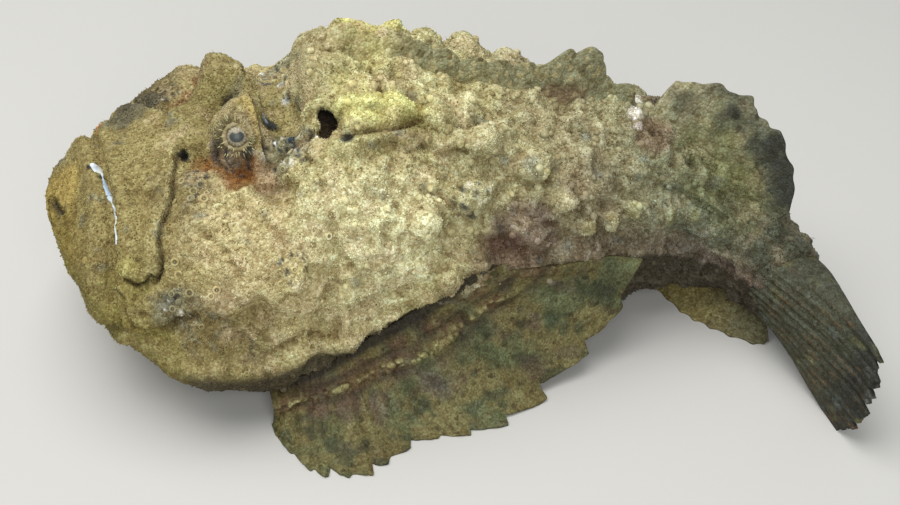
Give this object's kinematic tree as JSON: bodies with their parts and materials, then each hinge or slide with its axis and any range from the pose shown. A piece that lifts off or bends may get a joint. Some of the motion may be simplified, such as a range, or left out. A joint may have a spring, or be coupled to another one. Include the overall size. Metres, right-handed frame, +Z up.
{
  "type": "reef stonefish",
  "caption": "Still, life-size reef stonefish lying on its belly, pectoral fins spread on the floor and tail curled to its left.",
  "frame": {"origin": "on the floor, under the centre of the whole animal's outline", "axes": "+Z up from the floor; +X from the head to the tail; the fish's left side, which the picture shows, towards -Y"},
  "size_m": [0.2653, 0.1817, 0.1074],
  "materials": {
    "head_skin": "rough, grainy, warty ochre-tan skin with dark pores",
    "back_skin": "rough, warty, sand-coloured skin, mottled pinkish beige and brown",
    "tail_skin": "rough grey-brown skin with pale warts",
    "fin_skin": "dark olive membrane over raised rays",
    "tail_fin_skin": "nearly black olive membrane with orange-brown rays",
    "eye": "wet, dark, mottled eye"
  },
  "bodies": {
    "root": {"lower_jaw": "head_skin", "head": "head_skin", "trunk": "back_skin", "tail_stalk": "tail_skin", "eye_left": "eye", "eye_right": "eye", "pectoral_fin_left": "fin_skin", "pectoral_fin_right": "fin_skin", "pelvic_fin_left": "fin_skin", "pelvic_fin_right": "fin_skin", "anal_fin": "fin_skin", "caudal_fin": "tail_fin_skin", "dorsal_fin_spinous": "back_skin", "dorsal_fin_soft": "tail_skin"}
  },
  "joints": []
}
